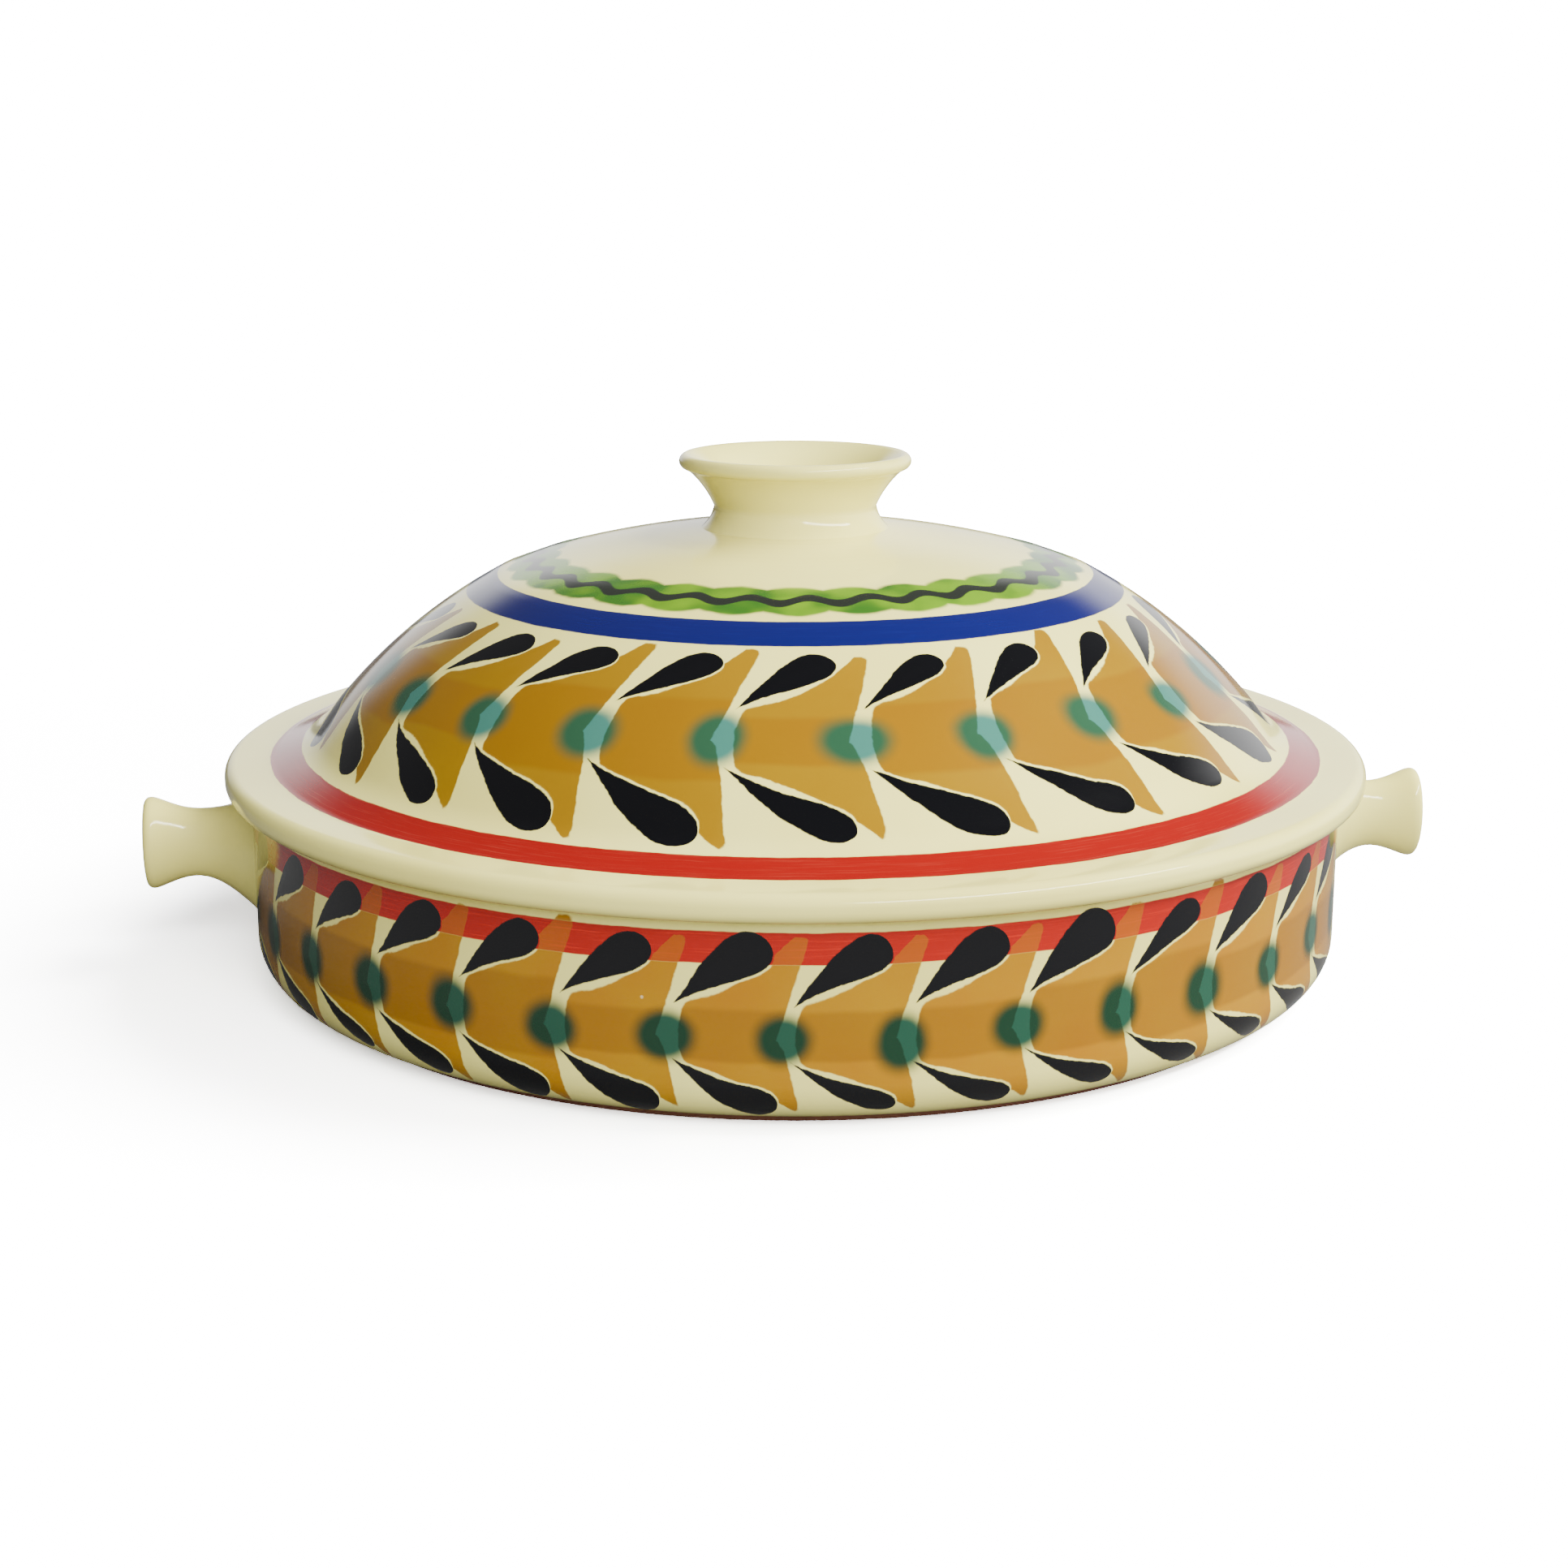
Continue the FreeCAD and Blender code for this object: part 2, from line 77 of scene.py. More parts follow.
def colour(name, description, red, green, blue):
    """A colour in light values, from 0 to 1."""
    return FloatVectorProperty(
        name=name, description=description, default=(red, green, blue), size=3, min=0, max=1, subtype="COLOR"
    )


class WarmerDish(bpy.types.PropertyGroup):
    """Sizes of the dish, its foot ring and its handles."""

    radius: length("Radius", "Outside of the dish's wall", DISH_HIGH[0])
    height: length("Rim height", "Table to the rim", DISH_HIGH[2])
    base: length("Base height", "Table to the dish's underside", DISH_LOW[2])
    wall: length("Wall", "Thickness of the wall", 8.0 * MM)
    floor: length("Floor", "Thickness of the floor", 7.0 * MM)
    heel: length("Heel", "Round of the wall into the underside", 9.0 * MM)
    well: length("Well", "Round of the wall into the floor", 12.0 * MM)
    rim: length("Rim round", "Round on the rim's edges", 2.4 * MM)
    foot_radius: length("Foot radius", "Outside of the foot ring", FOOT_HIGH[0])
    foot_width: length("Foot width", "Width of the foot ring", 9.0 * MM)
    handle_reach: length("Handle reach", "Axis to the handle's outer end", HANDLE_HIGH[0])
    handle_level: length("Handle level", "Height of the handle's middle", 30.3 * MM)


class WarmerLid(bpy.types.PropertyGroup):
    """Sizes of the lid, its seat ring and its knob."""

    radius: length("Radius", "Outside of the brim", LID_HIGH[0])
    base: length("Underside", "Table to the lid's underside", LID_LOW[2])
    top: length("Crown", "Table to the top of the crown", LID_HIGH[2])
    brim: length("Brim", "Thickness of the brim at its edge", 6.4 * MM)
    brim_flat: length("Brim flat", "Where the brim's flat top starts to climb", 126.0 * MM)
    brim_round: length("Brim round", "Round on the brim's edge", 2.8 * MM)
    dome_foot: length("Dome foot", "Where the climbing brim meets the dome", 116.3 * MM)
    cove: length("Cove", "Hollow round between brim and dome", 12.0 * MM)
    flank: length("Flank", "Round of the dome's flank", 130.0 * MM)
    flank_out: length("Flank middle", "Middle of the flank's round, out from the axis", 11.5 * MM)
    flank_drop: length("Flank drop", "Middle of the flank's round, below the underside", 66.8 * MM)
    crown: length("Crown round", "Round of the dome's flat top", 240.0 * MM)
    wall: length("Wall", "Thickness of the dome", 6.0 * MM)
    seat_radius: length("Seat radius", "Outside of the seat ring", SEAT_HIGH[0])
    seat_width: length("Seat width", "Thickness of the seat ring", 4.0 * MM)
    seat_low: length("Seat foot", "Table to the seat ring's lower edge", SEAT_LOW[2])
    knob_radius: length("Knob radius", "Outside of the knob's rim", KNOB_HIGH[0])
    knob_top: length("Knob top", "Table to the knob's rim", KNOB_HIGH[2])
    knob_bead: length("Knob bead", "Thickness of the knob's rim", 3.6 * MM)
    knob_neck: length("Knob neck", "Outside of the knob's neck", 19.5 * MM)
    knob_foot: length("Knob foot", "Outside of the knob where it meets the crown", 22.4 * MM)
    knob_wall: length("Knob wall", "Thickness of the knob's neck", 4.2 * MM)


class WarmerPaint(bpy.types.PropertyGroup):
    """Colours of the glaze and the painting, and how often the garlands repeat."""

    ivory: colour("Ivory", "Tin glaze", 0.80, 0.745, 0.22)
    speck: colour("Speck", "Pinholes in the plain glaze", 0.30, 0.22, 0.10)
    paint_speck: colour("Paint speck", "Pinholes in the painting", 0.80, 0.72, 0.40)
    black: colour("Black", "Dark leaf stroke", 0.0015, 0.0016, 0.0022)
    amber: colour("Amber", "Where two leaf strokes overlap", 0.205, 0.084, 0.0)
    lid_leaf: colour("Lid leaf", "Leaf stroke on the lid", 0.255, 0.140, 0.0)
    lid_leaf_thick: colour("Lid leaf, thick", "The same, where it lies thick", 0.230, 0.112, 0.0)
    lid_dab: colour("Lid dab", "Dab of green on the lid's glaze", 0.038, 0.150, 0.115)
    lid_dab_over: colour("Lid dab over leaf", "The same, over a leaf", 0.018, 0.066, 0.031)
    wall_leaf: colour("Wall leaf", "Leaf stroke on the dish's wall", 0.357, 0.182, 0.0)
    wall_leaf_thick: colour("Wall leaf, thick", "The same, where it lies thick", 0.330, 0.122, 0.0)
    wall_dab: colour("Wall dab", "Dab of green on the wall's glaze", 0.012, 0.062, 0.034)
    wall_dab_over: colour("Wall dab over leaf", "The same, over a leaf", 0.005, 0.030, 0.012)
    red: colour("Red", "Bands on brim and wall", 0.23, 0.003, 0.0015)
    lid_red_streak: colour("Lid red streak", "Thin streaks in the brim's band", 0.34, 0.045, 0.022)
    wall_red_streak: colour("Wall red streak", "Thin streaks in the wall's band", 0.50, 0.016, 0.004)
    blue: colour("Blue", "Band round the crown", 0.004, 0.0055, 0.078)
    blue_streak: colour("Blue streak", "Thin streaks in the blue band", 0.006, 0.010, 0.12)
    lime: colour("Lime", "Scalloped band round the crown", 0.115, 0.245, 0.002)
    lime_thick: colour("Lime, thick", "Deeper patches in the scalloped band", 0.028, 0.105, 0.008)
    slate: colour("Slate", "Waved line in the scalloped band", 0.012, 0.015, 0.010)
    clay: colour("Clay", "Bare foot ring", 0.10, 0.04, 0.022)
    lid_repeats: IntProperty(name="Lid repeats", description="Motifs round the lid", default=22, min=3)
    wall_repeats: IntProperty(name="Wall repeats", description="Motifs round the dish", default=34, min=3)
    waves: IntProperty(name="Waves", description="Waves in the scalloped band", default=30, min=3)


class WarmerStage(bpy.types.PropertyGroup):
    """Where the picture is taken from."""

    place: FloatVectorProperty(
        name="Camera", description="Where the camera stands", default=(-0.0624, -0.6164, 0.1946), size=3,
        unit="LENGTH",
    )
    turn: FloatProperty(name="Turn", description="Heading in degrees, to the right of +Y", default=5.533)
    tilt: FloatProperty(name="Tilt", description="Tilt below level, in degrees", default=13.916)
    lens: FloatProperty(name="Lens", description="Focal length in mm on a 36 mm sensor", default=59.53)


# Hand tools


def lay_down():
    """Nothing selected, and no edit under way."""
    if bpy.context.object and bpy.context.object.mode != "OBJECT":
        bpy.ops.object.mode_set(mode="OBJECT")
    bpy.ops.object.select_all(action="DESELECT")


def bend(centre, radius, first, last, steps):
    """Points along a round, from one angle to another in degrees, as (out, up)."""
    turns = [math.radians(first + (last - first) * i / steps) for i in range(steps + 1)]
    return [(centre[0] + radius * math.cos(t), centre[1] + radius * math.sin(t)) for t in turns]


def soften(corners, steps=7):
    """A half profile through corners, each (out, up) or (out, up, round), with its rounds drawn in."""
    points = []
    for i, corner in enumerate(corners):
        here = Vector(corner[:2])
        if len(corner) < 3:
            points.append(here)
            continue
        back = (Vector(corners[i - 1][:2]) - here).normalized()
        ahead = (Vector(corners[(i + 1) % len(corners)][:2]) - here).normalized()
        half = back.angle(ahead) / 2
        run = corner[2] / math.tan(half)
        middle = here + (back + ahead).normalized() * (corner[2] / math.sin(half))
        start, end = here + back * run - middle, here + ahead * run - middle
        sweep = start.angle_signed(end)
        for k in range(steps + 1):
            points.append(middle + Matrix.Rotation(-sweep * k / steps, 2) @ start)
    return points


def divide(points, longest):
    """The same profile with no run longer than longest."""
    out = [Vector(points[0])]
    for point in map(Vector, points[1:]):
        start = out[-1].copy()
        count = max(1, math.ceil((point - start).length / longest))
        out += [start.lerp(point, k / count) for k in range(1, count + 1)]
    return out


def turned(name, points, steps=180):
    """Turns a half profile on the upright axis. A profile that ends where it began makes a ring."""
    lay_down()
    first = points[0]
    bpy.ops.mesh.primitive_plane_add(size=MM, location=(first[0], 0, first[1]))
    piece = bpy.context.object
    piece.name = piece.data.name = name
    bpy.ops.object.transform_apply(location=True, rotation=True, scale=True)
    bpy.ops.object.mode_set(mode="EDIT")
    bpy.ops.mesh.select_all(action="SELECT")
    bpy.ops.mesh.merge(type="CENTER")
    for here, there in zip(points, points[1:]):
        step = (there[0] - here[0], 0, there[1] - here[1])
        bpy.ops.mesh.extrude_region_move(TRANSFORM_OT_translate={"value": step})
    bpy.ops.mesh.select_all(action="SELECT")
    bpy.ops.mesh.spin(steps=steps, angle=math.tau, center=(0, 0, 0), axis=(0, 0, 1))
    bpy.ops.mesh.select_all(action="SELECT")
    bpy.ops.mesh.remove_doubles(threshold=0.02 * MM)
    bpy.ops.mesh.normals_make_consistent(inside=False)
    bpy.ops.object.mode_set(mode="OBJECT")
    bpy.ops.object.shade_smooth_by_angle(angle=math.radians(50))
    return piece


def glaze(piece, everywhere, painted=None, where=None):
    """Gives the piece its finish, and the faces that where(middle, normal) picks their painted one."""
    piece.data.materials.append(everywhere)
    if painted is None:
        return
    piece.data.materials.append(painted)
    bpy.ops.object.mode_set(mode="EDIT")
    bpy.ops.mesh.select_mode(type="FACE")
    bpy.ops.mesh.select_all(action="DESELECT")
    bpy.ops.object.mode_set(mode="OBJECT")
    for face in piece.data.polygons:
        face.select = where(face.center, face.normal)
    piece.active_material_index = 1
    bpy.ops.object.mode_set(mode="EDIT")
    bpy.ops.object.material_slot_assign()
    bpy.ops.mesh.select_mode(type="VERT")
    bpy.ops.object.mode_set(mode="OBJECT")


def settle(piece, body, node):
    """Hangs the piece on the body that carries it, and hides the imported node it stands in for."""
    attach(piece, body)
    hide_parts(node)


# Sums written as nodes


class Sums:
    """Adds nodes to a tree from written sums, from left to right."""

    def __init__(self, tree):
        self.tree = tree
        self.count = 0

    def node(self, kind, **settings):
        node = self.tree.nodes.new(kind)
        node.location = (170 * (self.count // 8) - 1200, 500 - 150 * (self.count % 8))
        self.count += 1
        for key, value in settings.items():
            setattr(node, key, value)
        return node

    def feed(self, socket, value):
        if isinstance(value, Term):
            self.tree.links.new(value.socket, socket)
        elif value is not None:
            socket.default_value = value

    def math(self, operation, *values, clamp=False):
        node = self.node("ShaderNodeMath", operation=operation, use_clamp=clamp)
        for socket, value in zip(node.inputs, values):
            self.feed(socket, value)
        return Term(self, node.outputs[0])

    def edge(self, value, low, high, start=0.0, end=1.0):
        """Climbs softly from start at low to end at high."""
        node = self.node("ShaderNodeMapRange", interpolation_type="SMOOTHSTEP")
        labels = ("Value", "From Min", "From Max", "To Min", "To Max")
        for label, number in zip(labels, (value, low, high, start, end)):
            self.feed(node.inputs[label], number)
        return Term(self, node.outputs["Result"])

    def chance(self, value):
        """Three numbers from 0 to 1 that stay the same for the same value."""
        node = self.node("ShaderNodeTexWhiteNoise", noise_dimensions="1D")
        self.feed(node.inputs["W"], value)
        parts = self.node("ShaderNodeSeparateColor")
        self.tree.links.new(node.outputs["Color"], parts.inputs[0])
        return [Term(self, socket) for socket in parts.outputs]

    def cloud(self, vector, scale, detail=2.0, rough=0.5):
        """Noise about 0, mostly between -0.5 and 0.5."""
        node = self.node("ShaderNodeTexNoise")
        self.feed(node.inputs["Vector"], vector)
        for key, number in (("Scale", scale), ("Detail", detail), ("Roughness", rough)):
            self.feed(node.inputs[key], number)
        return Term(self, node.outputs["Fac"]) - 0.5

    def vector(self, x, y, z):
        node = self.node("ShaderNodeCombineXYZ")
        for socket, value in zip(node.inputs, (x, y, z)):
            self.feed(socket, value)
        return Term(self, node.outputs[0])

    def split(self, vector):
        node = self.node("ShaderNodeSeparateXYZ")
        self.feed(node.inputs[0], vector)
        return [Term(self, socket) for socket in node.outputs]

    def mix(self, share, under, over):
        """Colour over laid on colour under, as far as share says."""
        node = self.node("ShaderNodeMix", data_type="RGBA")
        self.feed(node.inputs[0], share)
        self.feed(node.inputs[6], under)
        self.feed(node.inputs[7], over)
        return Term(self, node.outputs[2])

    def use(self, group, **values):
        """Places a shared effect, and returns its outputs by name."""
        node = self.node("ShaderNodeGroup", node_tree=group, width=200)
        for key, value in values.items():
            self.feed(node.inputs[key.replace("_", " ")], value)
        return {socket.name: Term(self, socket) for socket in node.outputs}


class Term:
    """A number or colour in a sum."""

    def __init__(self, sums, socket):
        self.sums, self.socket = sums, socket

    def __add__(self, other):
        return self.sums.math("ADD", self, other)

    def __radd__(self, other):
        return self.sums.math("ADD", other, self)

    def __sub__(self, other):
        return self.sums.math("SUBTRACT", self, other)

    def __rsub__(self, other):
        return self.sums.math("SUBTRACT", other, self)

    def __mul__(self, other):
        return self.sums.math("MULTIPLY", self, other)

    def __rmul__(self, other):
        return self.sums.math("MULTIPLY", other, self)

    def __truediv__(self, other):
        return self.sums.math("DIVIDE", self, other)

    def __pow__(self, other):
        return self.sums.math("POWER", self, other)

    def __abs__(self):
        return self.sums.math("ABSOLUTE", self)


def new_group(name, inputs, outputs):
    """An empty shared effect with its named inputs and outputs. Each input is (name, default)."""
    group = bpy.data.node_groups.new(name, "ShaderNodeTree")
    for label, default in inputs:
        kind = "NodeSocketVector" if default is None else "NodeSocketFloat"
        socket = group.interface.new_socket(label, in_out="INPUT", socket_type=kind)
        if default is not None:
            socket.default_value = default
    for label in outputs:
        group.interface.new_socket(label, in_out="OUTPUT", socket_type="NodeSocketFloat")
    sums = Sums(group)
    entry = sums.node("NodeGroupInput")
    return group, sums, {socket.name: Term(sums, socket) for socket in entry.outputs if socket.name}


def close_group(group, sums, **results):
    leave = sums.node("NodeGroupOutput")
    for key, term in results.items():
        sums.feed(leave.inputs[key.replace("_", " ")], term)
    return group


def place_group():
    """Where a point lies round the upright axis, in mm and in turns from the front, to the right."""
    group, sums, given = new_group("round the axis", [("Place", None)], ["Turns", "Out", "Up"])
    x, y, z = sums.split(given["Place"])
    turns = sums.math("ARCTAN2", x, 0.0 - y) / math.tau
    out = sums.math("SQRT", x * x + y * y) * 1000.0
    return close_group(group, sums, Turns=turns, Out=out, Up=z * 1000.0)


STROKE_BOW = 4.0  # four times how far a stroke's middle bows out, in mm
STROKE_SWELL = 1.1  # how late a stroke grows full
STROKE_END = 5.0  # how blunt its full end is
STROKE_FULL = 1.12  # makes up for what the swell and the end take off its width


def stroke(sums, along, across, long, half):
    """Signed depth in mm inside a teardrop stroke that starts thin at 0 and ends full at its length."""
    x = sums.math("DIVIDE", along, long, clamp=True)
    middle = across - x * (1.0 - x) * STROKE_BOW
    blunt = sums.math("SQRT", sums.math("MAXIMUM", 1.0 - x**STROKE_END, 0.0))
    width = (x**STROKE_SWELL) * blunt * half * STROKE_FULL
    past = sums.math("MAXIMUM", abs(along - long * 0.5) - long * 0.5, 0.0)
    return width - abs(middle) - past * 4.0


# One motif of the garland. Along it, numbers are parts of its repeat from the notch before it. Away from the
# line of dabs, they are parts of its half's height.
CLIMB_FROM, CLIMB_LONG = 0.14, 0.97  # where the leaf starts to climb to its tip, and over how long
CLIMB_LOW, CLIMB_GAIN, CLIMB_CURVE = 0.38, 0.66, 1.8  # its height there, what it gains, and how late
FAR_LEAN, FAR_CURVE = (0.28, 0.19), 0.6  # how far the far edge leans on, above and below, and how soon below
NEAR_LEAN = 0.34  # how far the near edge follows it
TIP_SOFT, NOTCH_SOFT = 2.6, 2.8  # mm over which the leaf's edges run into each other
LAP = (0.22, 0.30)  # where the overlap of two leaves fades
UPPER_ENDS = ((0.10, 0.33), (0.89, 0.94))  # a dark stroke's thin end and full end, each (along, away)
LOWER_ENDS = ((0.07, 0.29), (0.95, 0.93))
HALO = (-0.62, -0.22)  # how deep, in mm, the rim of bare glaze round a dark stroke lies outside it
DAB_EDGE = (0.58, 1.20)  # where a dab fades, in parts of its size

# What each motif's luck changes: a number, and what full luck adds to it
LEAF_HEIGHT, FAR_EDGE, NEAR_EDGE = (0.94, 0.14), (0.93, 0.04), (0.11, 0.03)
STROKE_RISE, STROKE_WIDTH, DAB_SIZE = (0.92, 0.14), (0.74, 0.48), (0.88, 0.24)
LAP_LUCK, DAB_ASIDE, DAB_UP = 0.2, 0.03, 2.0


def garland_group():
    """A garland of fishtail leaves with dark strokes above and below, and a dab of green in each notch.

    Along counts repeats, and Above is mm over the line of dabs. The leaves flow to the right. A motif's tip
    shows in the cell after its own, so each cell works out its own leaf and the one before.
    """
    inputs = [
        ("Place", None), ("Along", 0.0), ("Above", 0.0), ("Repeat", 28.0), ("Upper", 22.0), ("Lower", 20.0),
        ("Upper stroke", 4.2), ("Lower stroke", 4.2), ("Dab width", 7.0), ("Dab height", 6.0), ("Seed", 0.0),
    ]
    group, sums, given = new_group("leaf garland", inputs, ["Leaf", "Overlap", "Stroke", "Dab", "Wash"])
    sway = sums.cloud(given["Place"], 150.0, 2.0)
    drift = sums.cloud(given["Place"], 60.0, 1.0)
    repeat, upper, lower = given["Repeat"], given["Upper"], given["Lower"]
    along = given["Along"] + sway * 0.035
    above = given["Above"] + drift * 1.8
    cell = sums.math("FLOOR", along)
    part = along - cell
    high = sums.math("MAXIMUM", above, 0.0) / upper
    low = sums.math("MAXIMUM", 0.0 - above, 0.0) / lower
    reach = high + low
    leaf, dark, overlap = None, None, None
    rough = sums.cloud(given["Place"], 620.0, 2.0) * 0.5  # the brush's grain at every edge, in mm
    for back in (0.0, 1.0):
        one, two, three = sums.chance(cell - back + given["Seed"])
        u = part + back
        grown = reach / (LEAF_HEIGHT[0] + one * LEAF_HEIGHT[1])
        run = sums.math("DIVIDE", u - CLIMB_FROM, CLIMB_LONG, clamp=True)
        top = CLIMB_LOW + (run**CLIMB_CURVE) * CLIMB_GAIN
        far = FAR_EDGE[0] + two * FAR_EDGE[1] + high * FAR_LEAN[0] + (low**FAR_CURVE) * FAR_LEAN[1]
        near = NEAR_EDGE[0] + three * NEAR_EDGE[1] + grown * grown * NEAR_LEAN
        depth = sums.math("SMOOTH_MIN", (top - grown) * upper * 0.7, (far - u) * repeat * 0.9, TIP_SOFT)
        depth = sums.math("SMOOTH_MIN", depth, (u - near) * repeat * 0.9, NOTCH_SOFT) + rough
        leaf = depth if leaf is None else sums.math("MAXIMUM", leaf, depth)
        inward = sums.edge(grown, LAP[0] + one * LAP_LUCK, LAP[1] + one * LAP_LUCK, 1.0, 0.0)
        lap = inward * sums.edge(depth, 0.0, 0.3)
        overlap = lap if overlap is None else sums.math("MAXIMUM", overlap, lap)
        if back:
            continue
        for sign, (start, end), half, size, luck in (
            (1.0, UPPER_ENDS, given["Upper stroke"], upper, two),
            (-1.0, LOWER_ENDS, given["Lower stroke"], lower, three),
        ):
            across_run = repeat * (end[0] - start[0])
            up_run = size * ((end[1] - start[1]) * (STROKE_RISE[0] + luck * STROKE_RISE[1]))
            long = sums.math("SQRT", across_run * across_run + up_run * up_run)
            dx = (u - start[0]) * repeat
            dy = above * sign - size * start[1]
            forward = (dx * across_run + dy * up_run) / long
            side = (dy * across_run - dx * up_run) / long
            width = half * (STROKE_WIDTH[0] + luck * STROKE_WIDTH[1])
            depth = stroke(sums, forward, side, long, width) + rough
            dark = depth if dark is None else sums.math("MAXIMUM", dark, depth)
    halo = sums.edge(dark, *HALO, 1.0, 0.0)
    painted = sums.edge(leaf, -0.15, 0.25) * halo
    dab = None
    for ahead in (0.0, 1.0):
        one, two, three = sums.chance((cell + ahead) * 1.7 + given["Seed"] + 11.0)
        wide = given["Dab width"] * (DAB_SIZE[0] + two * DAB_SIZE[1])
        tall = given["Dab height"] * (DAB_SIZE[0] + one * DAB_SIZE[1])
        dx = (part - ahead + (one - 0.5) * DAB_ASIDE) * repeat / wide
        dy = (above + (three - 0.5) * DAB_UP) / tall
        spread = sums.math("SQRT", dx * dx + dy * dy) + drift * 0.25
        mark = sums.edge(spread, *DAB_EDGE, 1.0, 0.0)
        dab = mark if dab is None else sums.math("MAXIMUM", dab, mark)
    wash = sums.cloud(given["Place"], 40.0, 3.0) * 1.6 + 0.4
    return close_group(
        group, sums, Leaf=painted, Overlap=overlap, Stroke=sums.edge(dark, -0.1, 0.2), Dab=dab, Wash=wash
    )


def band_group():
    """A brushed band between two places, with streaks that run along it."""
    inputs = [("Place", None), ("Turns", 0.0), ("At", 0.0), ("From", 0.0), ("To", 1.0), ("Waver", 0.6)]
    group, sums, given = new_group("brushed band", inputs, ["Band", "Streaks"])
    sway = sums.cloud(given["Place"], 90.0, 3.0, 0.6) * given["Waver"]
    at = given["At"] + sway
    band = sums.edge(at, given["From"] - 0.15, given["From"] + 0.15)
    band = band * sums.edge(at, given["To"] - 0.15, given["To"] + 0.15, 1.0, 0.0)
    angle = given["Turns"] * math.tau
    ring = sums.vector(sums.math("COSINE", angle) * 4.0, sums.math("SINE", angle) * 4.0, at * 1.9)
    streaks = sums.edge(sums.cloud(ring, 1.6, 4.0, 0.65), 0.02, 0.20)
    return close_group(group, sums, Band=band, Streaks=streaks)


def skin_group():
    """The fired glaze itself: faint tint, gloss, the turning marks under it and a few pinholes."""
    group, sums, given = new_group("fired glaze", [("Place", None)], ["Tint", "Gloss", "Relief", "Specks"])
    tint = sums.cloud(given["Place"], 18.0, 3.0) + 0.5
    gloss = sums.cloud(given["Place"], 70.0, 2.0) * 0.05 + 0.11
    x, y, z = sums.split(given["Place"])
    out = sums.math("SQRT", x * x + y * y)
    rings = sums.cloud(sums.vector(0.0, 0.0, (out + z) * 1000.0), 0.22, 2.0)
    relief = rings * 0.7 + sums.cloud(given["Place"], 38.0, 2.0) * 0.6
    speck = sums.node("ShaderNodeTexVoronoi", feature="F1")
    sums.feed(speck.inputs["Vector"], given["Place"])
    speck.inputs["Scale"].default_value = 95.0
    near = Term(sums, speck.outputs["Distance"])
    colour_parts = sums.node("ShaderNodeSeparateColor")
    sums.tree.links.new(speck.outputs["Color"], colour_parts.inputs[0])
    rare = sums.edge(Term(sums, colour_parts.outputs[0]), 0.86, 0.88)
    specks = sums.edge(near, 0.02, 0.05, 1.0, 0.0) * rare
    return close_group(group, sums, Tint=tint, Gloss=gloss, Relief=relief, Specks=specks)


def paints():
    """Every paint's colour with an opaque fourth number."""
    chosen = bpy.context.scene.warmer_paint
    names = [kind.identifier for kind in chosen.bl_rna.properties if kind.subtype == "COLOR"]
    return {name: (*getattr(chosen, name), 1.0) for name in names}


def shared(name, make):
    """The shared effect of that name, made on first use."""
    return bpy.data.node_groups.get(name) or make()


def new_glaze(name):
    """A glossy glaze. Returns the material, its sums, its surface, the place and the shared skin."""
    material = bpy.data.materials.new(name)
    material.use_nodes = True
    tree = material.node_tree
    surface = tree.nodes["Principled BSDF"]
    surface.location = (1900, 300)
    tree.nodes["Material Output"].location = (2250, 300)
    surface.inputs["IOR"].default_value = 1.52
    sums = Sums(tree)
    place = Term(sums, sums.node("ShaderNodeTexCoord").outputs["Object"])
    skin = sums.use(shared("fired glaze", skin_group), Place=place)
    sums.feed(surface.inputs["Roughness"], skin["Gloss"])
    bump = sums.node("ShaderNodeBump")
    bump.inputs["Strength"].default_value = 0.22
    bump.inputs["Distance"].default_value = 0.4 * MM
    sums.feed(bump.inputs["Height"], skin["Relief"])
    tree.links.new(bump.outputs["Normal"], surface.inputs["Normal"])
    return material, sums, surface, place, skin


# Where the painting lies, in mm: on the lid out from the axis, on the wall up from the table
BANDS = {
    "lid red": {"From": 118.8, "To": 126.2, "Waver": 0.7},
    "lid blue": {"From": 71.4, "To": 78.8, "Waver": 0.5},
    "wall red": {"From": 36.6, "To": 43.3, "Waver": 0.6},
}
LIME_INNER, LIME_OUTER, SCALLOP = (56.6, 58.2), (66.8, 68.2), 1.6
WAVE_AT, WAVE_SWING, WAVE_EDGE = 62.6, 1.3, (1.4, 1.9)
LID_LINE, LID_SLANT, LID_BACK = 100.0, 1.34, 0.08  # the dabs' line, mm up the flank for each mm in, and start
LID_GARLAND = {
    "Upper": 25.0, "Lower": 21.0, "Upper stroke": 5.7, "Lower stroke": 5.0,
    "Dab width": 7.8, "Dab height": 6.6, "Seed": 5.0,
}
WALL_LINE, WALL_TURN = 20.8, 6.885  # the dabs' line, and the garland's start in degrees
WALL_GARLAND = {
    "Upper": 21.5, "Lower": 16.0, "Upper stroke": 6.2, "Lower stroke": 4.4,
    "Dab width": 6.2, "Dab height": 6.6, "Seed": 40.0,
}
BARE_LEVEL, BARE_TALL = 28.0, 0.9  # middle and flatness of the bare patch round a handle's root
BARE_EDGE, BARE_WAVER = (16.8, 17.4), 4.0
LEAF_OVER_RED = 0.62  # how far the red shows through a leaf

THICK_GLAZE = (0.93, 0.90, 0.80)  # what is left of ivory's red, green and blue where the glaze lies thick
SPECK_SHARE = 0.5
LAP_SHARE = 0.55


def ground(sums, skin):
    """The ivory glaze under everything, a little warmer where it lies thick."""
    ivory = paints()["ivory"]
    warm = (*(part * left for part, left in zip(ivory, THICK_GLAZE)), 1.0)
    return sums.mix(sums.edge(skin["Tint"], 0.30, 0.75), ivory, warm)


